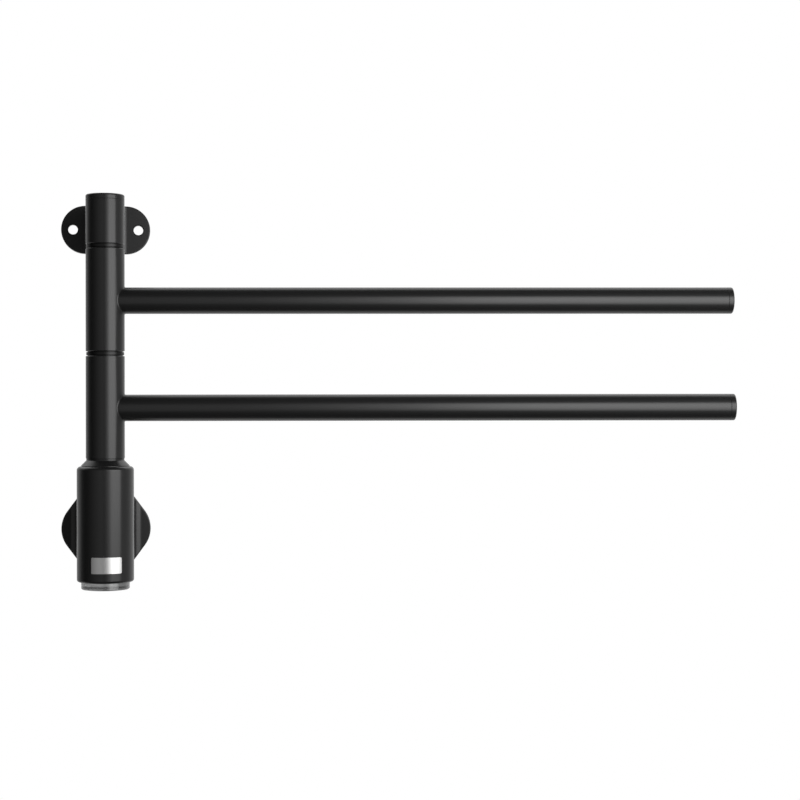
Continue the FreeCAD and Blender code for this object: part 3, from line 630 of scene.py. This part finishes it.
def repeat(tree, entry, leave, points, piece):
    """Ends a geometry tree: a piece on every point, put in its place, made real and given its finish."""
    copies = place(tree, "GeometryNodeInstanceOnPoints", {"Points": points, "Instance": piece})
    turned = place(tree, "GeometryNodeTransform",
                   {"Geometry": copies.outputs["Instances"], "Translation": entry.outputs["Middle"],
                    "Rotation": entry.outputs["Turn"]})
    real = place(tree, "GeometryNodeRealizeInstances", {"Geometry": turned.outputs["Geometry"]})
    painted = place(tree, "GeometryNodeSetMaterial", {"Geometry": real.outputs["Geometry"],
                                                      "Material": entry.outputs["Finish"]})
    tree.links.new(painted.outputs["Geometry"], leave.inputs["Geometry"])


def lifted_block(tree, length, width, height, lift):
    """A block of three sizes, its middle raised along Z."""
    size = place(tree, "ShaderNodeCombineXYZ", {"X": length, "Y": width, "Z": height})
    block = place(tree, "GeometryNodeMeshCube", {"Size": size.outputs["Vector"]})
    up = place(tree, "ShaderNodeCombineXYZ", {"Z": lift})
    moved = place(tree, "GeometryNodeTransform", {"Geometry": block.outputs["Mesh"],
                                                  "Translation": up.outputs["Vector"]})
    return moved.outputs["Geometry"]


def row_points(tree, entry):
    """Points in a row along X, centred on nought."""
    count = entry.outputs["Count"]
    pitch = entry.outputs["Pitch"]
    length = maths(tree, "MULTIPLY", maths(tree, "SUBTRACT", count, 1.0), pitch)
    start = place(tree, "ShaderNodeCombineXYZ", {"X": maths(tree, "MULTIPLY", length, -0.5)})
    step = place(tree, "ShaderNodeCombineXYZ", {"X": pitch})
    line = place(tree, "GeometryNodeMeshLine", {"Count": count, "Start Location": start.outputs["Vector"],
                                                "Offset": step.outputs["Vector"]}, mode="OFFSET")
    return line.outputs["Mesh"]


def screw_row_tree():
    """A row of slotted screw heads that point along +Z before they are turned."""
    tree, entry, leave = geometry_tree(
        "slotted_screw_row",
        [("Count", "NodeSocketInt", 3), ("Pitch", "NodeSocketFloat", 0.005),
         ("Head Radius", "NodeSocketFloat", 0.0015), ("Head Height", "NodeSocketFloat", 0.0018)])
    radius = entry.outputs["Head Radius"]
    height = entry.outputs["Head Height"]
    head = place(tree, "GeometryNodeMeshCylinder", {"Vertices": 32, "Radius": radius, "Depth": height})
    slot = lifted_block(tree, maths(tree, "MULTIPLY", radius, SLOT_LENGTH),
                        maths(tree, "MULTIPLY", radius, SLOT_WIDTH), height,
                        maths(tree, "MULTIPLY", height, SLOT_LIFT))
    slotted = place(tree, "GeometryNodeMeshBoolean", {"Mesh 1": head.outputs["Mesh"], "Mesh 2": slot},
                    operation="DIFFERENCE")
    repeat(tree, entry, leave, row_points(tree, entry), slotted.outputs["Mesh"])
    return tree


def pin_row_tree():
    """A row of square pins, each in a cone of solder, that point along +Z before they are turned."""
    tree, entry, leave = geometry_tree(
        "soldered_pin_row",
        [("Count", "NodeSocketInt", 4), ("Pitch", "NodeSocketFloat", 0.0025),
         ("Pin Length", "NodeSocketFloat", 0.0014), ("Solder Radius", "NodeSocketFloat", 0.0008)])
    radius = entry.outputs["Solder Radius"]
    length = entry.outputs["Pin Length"]
    side = maths(tree, "MULTIPLY", radius, PIN_SIDE)
    pin = lifted_block(tree, side, side, length, maths(tree, "MULTIPLY", length, PIN_LIFT))
    solder = place(tree, "GeometryNodeMeshCone",
                   {"Vertices": 20, "Radius Top": maths(tree, "MULTIPLY", radius, SOLDER_TOP),
                    "Radius Bottom": radius, "Depth": maths(tree, "MULTIPLY", length, SOLDER_HEIGHT)})
    joint = place(tree, "GeometryNodeMeshBoolean", {"Mesh 2": pin}, operation="UNION", solver="EXACT")
    tree.links.new(solder.outputs["Mesh"], joint.inputs["Mesh 2"])
    repeat(tree, entry, leave, row_points(tree, entry), joint.outputs["Mesh"])
    return tree


def lens_ring_tree():
    """Half domes on a circle, hanging below it."""
    tree, entry, leave = geometry_tree(
        "lamp_lens_ring",
        [("Count", "NodeSocketInt", 4), ("Circle Radius", "NodeSocketFloat", 0.0075),
         ("Lens Radius", "NodeSocketFloat", 0.0011)])
    radius = entry.outputs["Lens Radius"]
    ball = place(tree, "GeometryNodeMeshUVSphere", {"Segments": 24, "Rings": 12, "Radius": radius})
    side = maths(tree, "MULTIPLY", radius, LENS_BLOCK)
    upper = lifted_block(tree, side, side, side, maths(tree, "MULTIPLY", side, 0.5))
    dome = place(tree, "GeometryNodeMeshBoolean", {"Mesh 1": ball.outputs["Mesh"], "Mesh 2": upper},
                 operation="DIFFERENCE")
    circle = place(tree, "GeometryNodeMeshCircle", {"Vertices": entry.outputs["Count"],
                                                    "Radius": entry.outputs["Circle Radius"]})
    repeat(tree, entry, leave, circle.outputs["Mesh"], dome.outputs["Mesh"])
    return tree


def rounded_outline(width, height, radius, steps=6):
    """Corners of a flat rounded rectangle in X and Z, counter-clockwise."""
    points = []
    centres = ((1, 1, 0), (-1, 1, 90), (-1, -1, 180), (1, -1, 270))
    for side, level, first in centres:
        for step in range(steps + 1):
            angle = math.radians(first + 90 * step / steps)
            points.append((side * (width / 2 - radius) + radius * math.cos(angle),
                           level * (height / 2 - radius) + radius * math.sin(angle)))
    return points


def badge_mesh():
    """A flat rounded plate with a bevelled front, cut into narrow strips and wrapped round the barrel."""
    badge = settings("badge")
    form = bmesh.new()
    outline = rounded_outline(badge.width, badge.height, badge.corner)
    back = form.faces.new([form.verts.new((x, 0.0, z)) for x, z in outline])
    raised = bmesh.ops.extrude_face_region(form, geom=[back])["geom"]
    front_verts = [item for item in raised if isinstance(item, bmesh.types.BMVert)]
    bmesh.ops.translate(form, verts=front_verts, vec=(0.0, -badge.thickness, 0.0))
    bmesh.ops.recalc_face_normals(form, faces=form.faces)
    rim = [edge for edge in form.edges if all(vert in front_verts for vert in edge.verts)]
    bmesh.ops.bevel(form, geom=rim, offset=badge.edge, segments=3, profile=0.5, affect="EDGES")
    for strip in range(1, badge.strips):
        x = badge.width * (strip / badge.strips - 0.5)
        bmesh.ops.bisect_plane(form, geom=form.verts[:] + form.edges[:] + form.faces[:],
                               plane_co=(x, 0.0, 0.0), plane_no=(1.0, 0.0, 0.0), dist=1e-7)
    middle_level = BARREL_LOW.z + badge.rise + badge.height / 2
    for vert in form.verts:
        angle = vert.co.x / BARREL_RADIUS + badge.turn
        reach = BARREL_RADIUS - vert.co.y
        vert.co = Vector((POST_MIDDLE.x + reach * math.sin(angle), POST_MIDDLE.y - reach * math.cos(angle),
                          middle_level + vert.co.z))
    mesh = bpy.data.meshes.new("badge_plate")
    form.to_mesh(mesh)
    form.free()
    return mesh


class HOLDER_OT_black_coat(bpy.types.Operator):
    """Coat the castings, the collar, the arms and their caps in satin black"""

    bl_idname = "towel_holder.black_coat"
    bl_label = "Black Coat"

    def execute(self, context):
        dress("black_coat", satin_coat())
        return {"FINISHED"}


class HOLDER_OT_bearing_rings(bpy.types.Operator):
    """Finish the bearing rings and the button's retainer in dull turned plastic"""

    bl_idname = "towel_holder.bearing_rings"
    bl_label = "Bearing Rings"

    def execute(self, context):
        dress("black_ring", turned_ring_plastic())
        return {"FINISHED"}


class HOLDER_OT_push_button(bpy.types.Operator):
    """Finish the clear button under the barrel"""

    bl_idname = "towel_holder.push_button"
    bl_label = "Push Button"

    def execute(self, context):
        dress("clear_acrylic", clear_acrylic())
        return {"FINISHED"}


class HOLDER_OT_badge_plate(bpy.types.Operator):
    """Add the bare brushed plate on the barrel's front"""

    bl_idname = "towel_holder.badge_plate"
    bl_label = "Badge Plate"

    def execute(self, context):
        mesh = badge_mesh()
        mesh.materials.append(brushed_steel_plate())
        add_piece("badge_plate", mesh, "wall_post", CRISP_PLATE_EDGE)
        return {"FINISHED"}


class HOLDER_OT_steelwork(bpy.types.Operator):
    """Finish the spindle, nuts, stops, spring and wall plate"""

    bl_idname = "towel_holder.steelwork"
    bl_label = "Steelwork"

    def execute(self, context):
        dress("steel", turned_steel())
        dress("steel", rolled_steel_plate(), "wall_plate")
        return {"FINISHED"}


class HOLDER_OT_button_spring(bpy.types.Operator):
    """Put a copy of the coil spring over the push button, its loose triangles merged, in place of the CAD
    spring
    """

    bl_idname = "towel_holder.button_spring"
    bl_label = "Button Spring"

    def execute(self, context):
        low, high, middle = box_of("button_spring")
        coil = merged_copy("button_spring", "pressed_spring")
        spring = add_piece("pressed_spring", coil, "wall_post")
        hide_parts("button_spring")
        left = 1.0 - settings("fittings").button_travel / (high.z - low.z)
        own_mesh(spring)
        return {"FINISHED"}


class HOLDER_OT_mouldings(bpy.types.Operator):
    """Finish the bushes, the chassis, the clamp and the terminal block"""

    bl_idname = "towel_holder.mouldings"
    bl_label = "Mouldings"

    def execute(self, context):
        dress("bush_plastic", moulded_plastic("natural_bush_plastic", (0.58, 0.56, 0.50), 0.45))
        dress("chassis_plastic", moulded_plastic("grey_chassis_plastic", (0.09, 0.09, 0.095), 0.5))
        dress("terminal_plastic", moulded_plastic("pale_terminal_plastic", (0.52, 0.53, 0.52), 0.4))
        return {"FINISHED"}


class HOLDER_OT_wiring(bpy.types.Operator):
    """Finish the wires, the heating cables and the grommet"""

    bl_idname = "towel_holder.wiring"
    bl_label = "Wiring"

    def execute(self, context):
        dress("wire_sheath", moulded_plastic("grey_wire_sheath", (0.30, 0.30, 0.31), 0.45, 0.8 * MM))
        dress("grommet_rubber", moulded_plastic("matt_grommet_rubber", (0.012, 0.012, 0.012), 0.75))
        return {"FINISHED"}


class HOLDER_OT_board(bpy.types.Operator):
    """Finish the boards and what is on them, and add the soldered pins and the lamps' lenses"""

    bl_idname = "towel_holder.board"
    bl_label = "Control Board"

    def execute(self, context):
        fittings = settings("fittings")
        dress("board_laminate", circuit_laminate())
        dress("relay_case", moulded_plastic("black_relay_case", (0.012, 0.013, 0.016), 0.3))
        dress("capacitor_sleeve", striped_sleeve())
        resin = lamp_resin()
        dress("lamp_lens", resin)
        board_low, board_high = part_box("control_board")
        pins = pin_row_tree()
        solder = finish_of("spindle_tube")
        rows = (("connector_pins", "board_connector", 4, board_low.y, FACING_FRONT),
                ("relay_pins", "power_relay", 4, board_high.y, FACING_WALL),
                ("capacitor_pins", "board_capacitor", 2, board_high.y, FACING_WALL))
        for name, node, count, face, turn in rows:
            middle = box_of(node)[2]
            grow_piece(name, pins,
                       {"Count": count, "Pitch": fittings.pin_pitch, "Pin Length": fittings.pin_length,
                        "Solder Radius": fittings.solder_radius, "Middle": (middle.x, face, middle.z),
                        "Turn": turn, "Finish": solder}, "wall_post")
        lamps_low, lamps_high, lamps = box_of("indicator_lamps")
        offset = lamps_high.x - lamps.x - fittings.lamp_side / 2 * math.sqrt(2)
        grow_piece("lamp_lenses", lens_ring_tree(),
                   {"Count": 4, "Circle Radius": offset * math.sqrt(2), "Lens Radius": fittings.lens_radius,
                    "Middle": (lamps.x, lamps.y, lamps_low.z), "Turn": ON_DIAGONALS,
                    "Finish": resin}, "wall_post")
        return {"FINISHED"}


class HOLDER_OT_screws(bpy.types.Operator):
    """Add the screws in the terminal block and on the cable clamp"""

    bl_idname = "towel_holder.screws"
    bl_label = "Screws"

    def execute(self, context):
        fittings = settings("fittings")
        tree = screw_row_tree()
        steel = finish_of("spindle_tube")
        low, high, block = box_of("terminal_block")
        well_floor = low.y + fittings.terminal_well_depth
        grow_piece("terminal_screws", tree,
                   {"Count": fittings.terminal_ways, "Pitch": (high.x - low.x) / fittings.terminal_ways,
                    "Head Radius": fittings.terminal_screw_radius,
                    "Head Height": fittings.terminal_screw_height,
                    "Middle": (block.x, well_floor - fittings.terminal_screw_height / 2, block.z),
                    "Turn": FACING_FRONT, "Finish": steel}, "wall_post")
        low, high, clamp = box_of("cable_clamp")
        grow_piece("cable_clamp_screws", tree,
                   {"Count": 2, "Pitch": high.x - low.x - 2 * fittings.clamp_screw_inset,
                    "Head Radius": fittings.clamp_screw_radius, "Head Height": fittings.clamp_screw_height,
                    "Middle": (clamp.x, low.y - fittings.clamp_screw_height / 2, clamp.z),
                    "Turn": FACING_FRONT, "Finish": steel}, "wall_post")
        return {"FINISHED"}


def backdrop_world():
    """White to the eye; to the surfaces, a ring of pale and dark panels round the part."""
    world = bpy.data.worlds.new("studio_backdrop")
    tree = bare_tree(world)
    direction = place(tree, "ShaderNodeTexCoord").outputs["Generated"]
    parts = place(tree, "ShaderNodeSeparateXYZ", {0: direction}).outputs
    azimuth = maths(tree, "ARCTAN2", parts["X"], maths(tree, "MULTIPLY", parts["Y"], -1.0))
    turn = maths(tree, "ADD", maths(tree, "DIVIDE", azimuth, 2 * math.pi), 0.5)
    ring = grey_ramp(tree, turn, [((degrees + 180) / 360, level) for degrees, level in BACKDROP_AZIMUTHS])
    depth = ranged(tree, parts["Y"], FRONT_TO_BACK, interpolation_type="SMOOTHSTEP")
    height = maths(tree, "ABSOLUTE", parts["Z"])
    poles = ranged(tree, height, RING_TO_POLES, interpolation_type="SMOOTHSTEP")
    behind = ranged(tree, parts["Z"], BACK_LOW_TO_HIGH, BACK_GREYS)
    overhead = mixed(tree, depth, grey(FRONT_POLES_GREY), behind)
    surround = mixed(tree, poles, ring, overhead)
    seen = place(tree, "ShaderNodeLightPath").outputs["Is Camera Ray"]
    colour = mixed(tree, seen, surround, grey(1.0))
    background = place(tree, "ShaderNodeBackground", {"Color": colour, "Strength": 1.0})
    output = place(tree, "ShaderNodeOutputWorld")
    tree.links.new(background.outputs["Background"], output.inputs["Surface"])
    return world


def pale_floor(studio):
    """A plain pale floor below the part, which lights it no more than the backdrop does."""
    level = CAD_BOX[0][2] - studio.floor_drop
    form = bmesh.new()
    bmesh.ops.create_grid(form, x_segments=1, y_segments=1, size=FLOOR_HALF_WIDTH)
    for vert in form.verts:
        vert.co += Vector((FLOOR_MIDDLE, 0.0, level))
    mesh = bpy.data.meshes.new("studio_floor")
    form.to_mesh(mesh)
    form.free()
    material, tree, shader = new_finish("pale_floor")
    join(tree, shader, grain(tree, size=2 * MM, depth=0.01 * MM, roughness=0.8),
         mottle(tree, (0.86, 0.86, 0.86), (0.90, 0.90, 0.90), size=0.2))
    set_constants(shader, Emission_Color=grey(1.0), Emission_Strength=FLOOR_GLOW)
    mesh.materials.append(material)
    floor = bpy.data.objects.new("studio_floor", mesh)
    floor.visible_glossy = False
    floor.visible_diffuse = False
    bpy.context.scene.collection.objects.link(floor)


def softbox(studio):
    """The long soft light that the gloss shows, dimmer towards its left end."""
    left = studio.softbox_left
    right = studio.softbox_right
    low = studio.softbox_level - studio.softbox_height / 2
    high = studio.softbox_level + studio.softbox_height / 2
    corners = ((left, low), (right, low), (right, high), (left, high))
    mesh = bpy.data.meshes.new("softbox")
    mesh.from_pydata([(x, -studio.softbox_distance, z) for x, z in corners], [], [(3, 2, 1, 0)])
    material = bpy.data.materials.new("softbox_cloth")
    tree = bare_tree(material)
    coordinates = place(tree, "ShaderNodeTexCoord").outputs["Object"]
    parts = place(tree, "ShaderNodeSeparateXYZ", {0: coordinates}).outputs
    across = grey_ramp(tree, ranged(tree, parts["X"], (left, right)), SOFTBOX_ACROSS)
    upright = grey_ramp(tree, ranged(tree, parts["Z"], (low, high)), SOFTBOX_UPRIGHT)
    both = place(tree, "ShaderNodeVectorMath", {0: across, 1: upright}, operation="MULTIPLY")
    cloth = place(tree, "ShaderNodeEmission", {"Color": both.outputs[0],
                                               "Strength": studio.softbox_radiance})
    output = place(tree, "ShaderNodeOutputMaterial")
    tree.links.new(cloth.outputs["Emission"], output.inputs["Surface"])
    mesh.materials.append(material)
    box = bpy.data.objects.new("softbox", mesh)
    box.visible_camera = False
    bpy.context.scene.collection.objects.link(box)


class HOLDER_OT_studio(bpy.types.Operator):
    """Set up the camera, the soft light, the white backdrop and the pale floor"""

    bl_idname = "towel_holder.studio"
    bl_label = "Studio"

    def execute(self, context):
        studio = settings("studio")
        scene = context.scene
        scene.world = backdrop_world()
        scene.view_settings.view_transform = "Standard"
        pale_floor(studio)
        softbox(studio)
        camera = bpy.data.cameras.new("camera")
        camera.lens = studio.lens
        camera.sensor_width = SENSOR_WIDTH
        eye = bpy.data.objects.new("camera", camera)
        eye.location = studio.camera_place
        eye.rotation_euler = (math.radians(90), studio.camera_roll, -studio.camera_turn)
        scene.collection.objects.link(eye)
        scene.camera = eye
        return {"FINISHED"}


OPERATORS = (
    HOLDER_OT_black_coat, HOLDER_OT_bearing_rings, HOLDER_OT_push_button, HOLDER_OT_badge_plate,
    HOLDER_OT_steelwork, HOLDER_OT_button_spring, HOLDER_OT_mouldings, HOLDER_OT_wiring, HOLDER_OT_board,
    HOLDER_OT_screws, HOLDER_OT_studio)
GROUPS = {"coat": HolderCoat, "badge": HolderBadge, "fittings": HolderFittings, "studio": HolderStudio}


class HOLDER_PT_pieces(bpy.types.Panel):
    """Lists the holder's pieces and their sizes"""

    bl_idname = "HOLDER_PT_pieces"
    bl_label = "Towel Holder"
    bl_space_type = "VIEW_3D"
    bl_region_type = "UI"
    bl_category = "Towel Holder"

    def draw(self, context):
        layout = self.layout
        for operator in OPERATORS:
            layout.operator(operator.bl_idname)
        for name, group in GROUPS.items():
            section = layout.box()
            section.label(text=name.capitalize())
            for field in group.__annotations__:
                section.prop(settings(name), field)


def register():
    for group in GROUPS.values():
        bpy.utils.register_class(group)
    for name, group in GROUPS.items():
        setattr(bpy.types.Scene, "holder_" + name, PointerProperty(type=group))
    for operator in OPERATORS:
        bpy.utils.register_class(operator)
    bpy.utils.register_class(HOLDER_PT_pieces)


def unregister():
    bpy.utils.unregister_class(HOLDER_PT_pieces)
    for operator in reversed(OPERATORS):
        bpy.utils.unregister_class(operator)
    for name in GROUPS:
        delattr(bpy.types.Scene, "holder_" + name)
    for group in reversed(GROUPS.values()):
        bpy.utils.unregister_class(group)


def main():
    register()
    for operator in OPERATORS:
        family, step = operator.bl_idname.split(".")
        getattr(getattr(bpy.ops, family), step)()
    bpy.context.view_layer.update()


if __name__ == "__main__":
    main()
